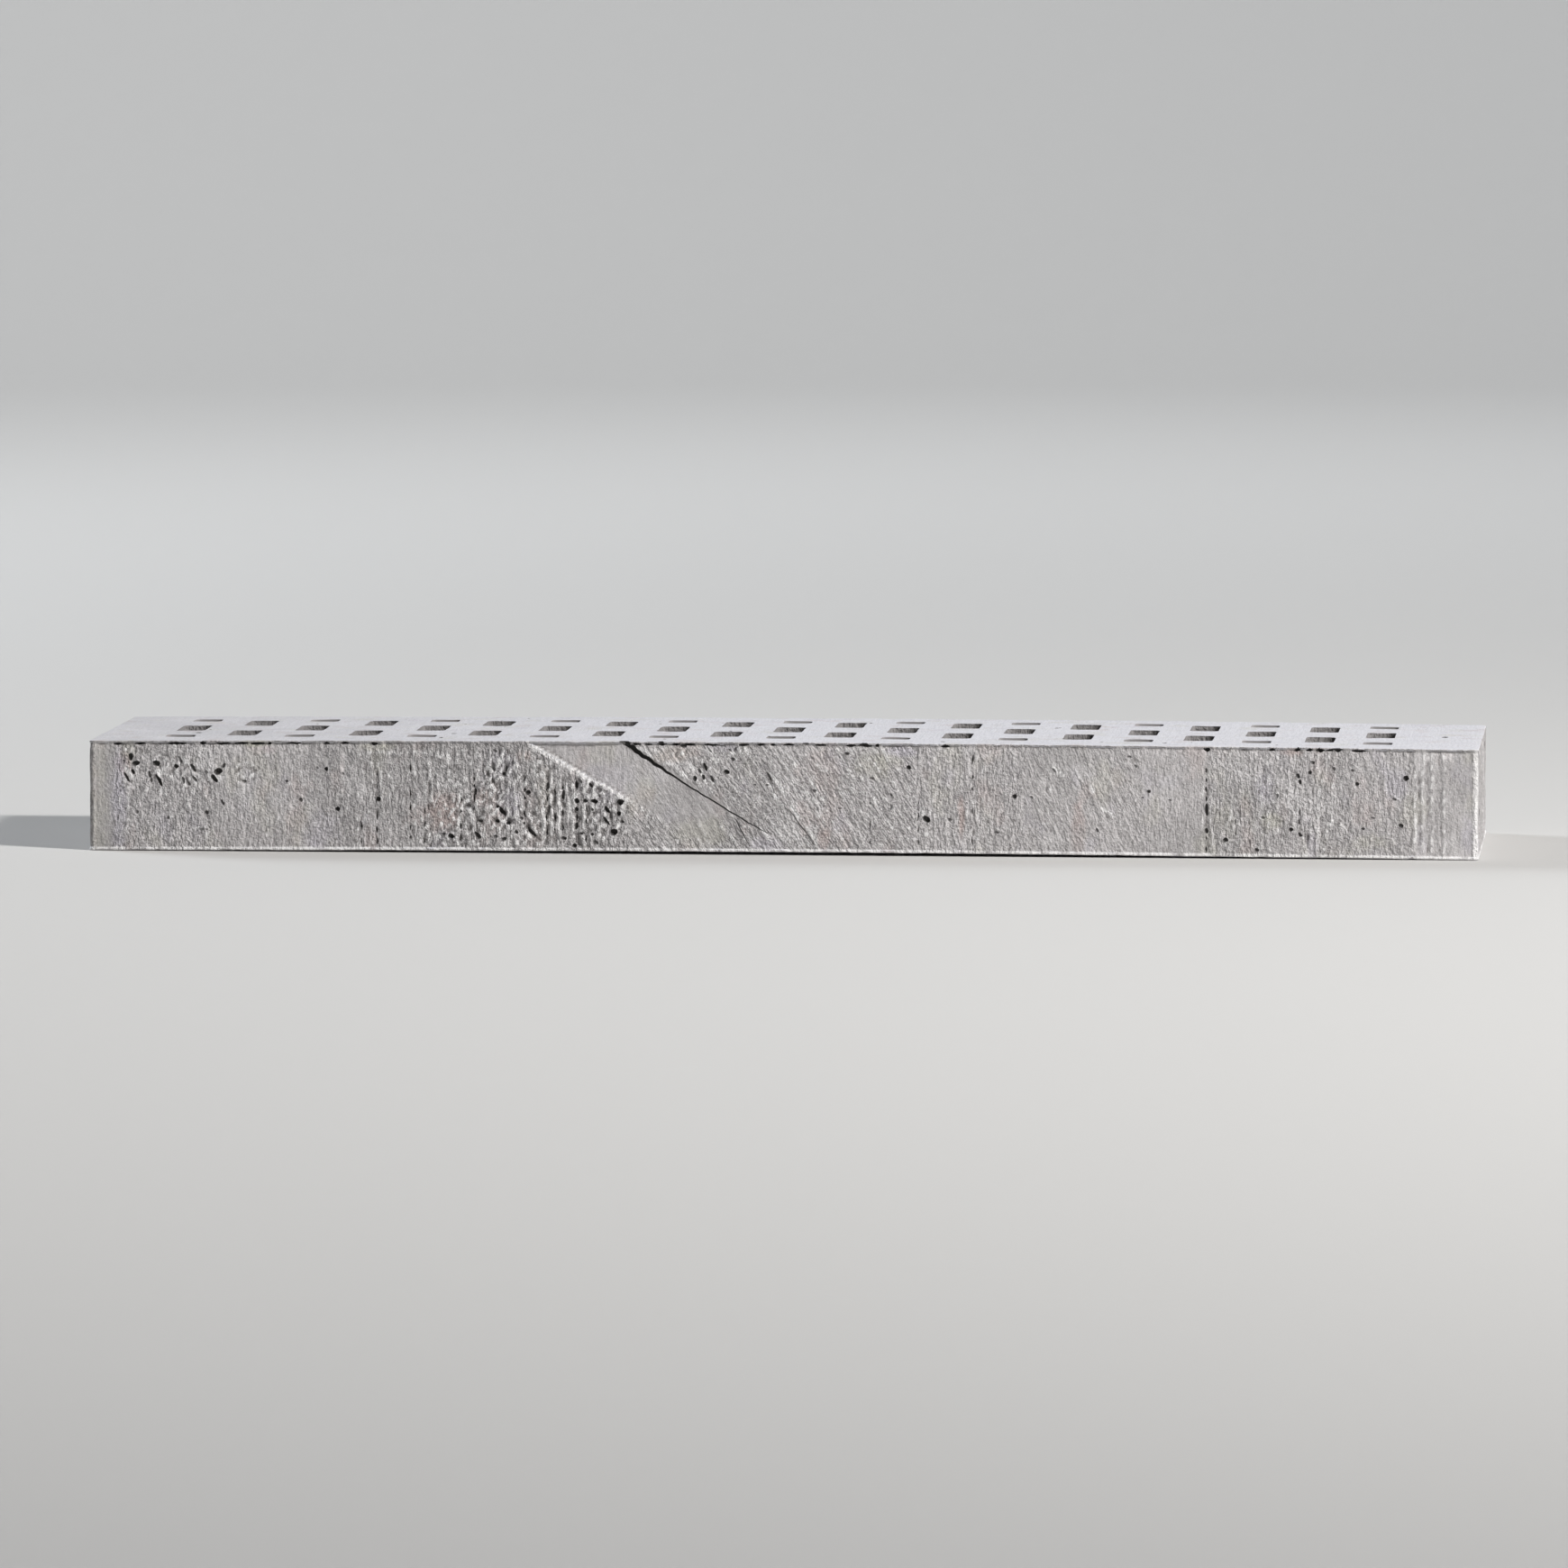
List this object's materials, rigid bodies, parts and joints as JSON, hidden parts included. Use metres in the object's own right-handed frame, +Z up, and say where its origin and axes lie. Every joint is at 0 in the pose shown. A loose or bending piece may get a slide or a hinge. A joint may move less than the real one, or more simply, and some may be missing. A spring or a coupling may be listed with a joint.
{
  "type": "clinker brick",
  "caption": "Long, low, light grey fired clay brick with slotted holes from bed to bed and fine upright drag marks on its faces.",
  "frame": {"origin": "centre of the lower bed", "axes": "+X along the brick, +Y from the front face that shows to the back face, +Z up, the way the clay left the die"},
  "size_m": [0.49, 0.115, 0.04],
  "materials": {
    "fired_clay": "unglazed, matte, fine gritty fired skin"
  },
  "bodies": {
    "root": {"clinker_brick": "fired_clay"}
  },
  "joints": []
}
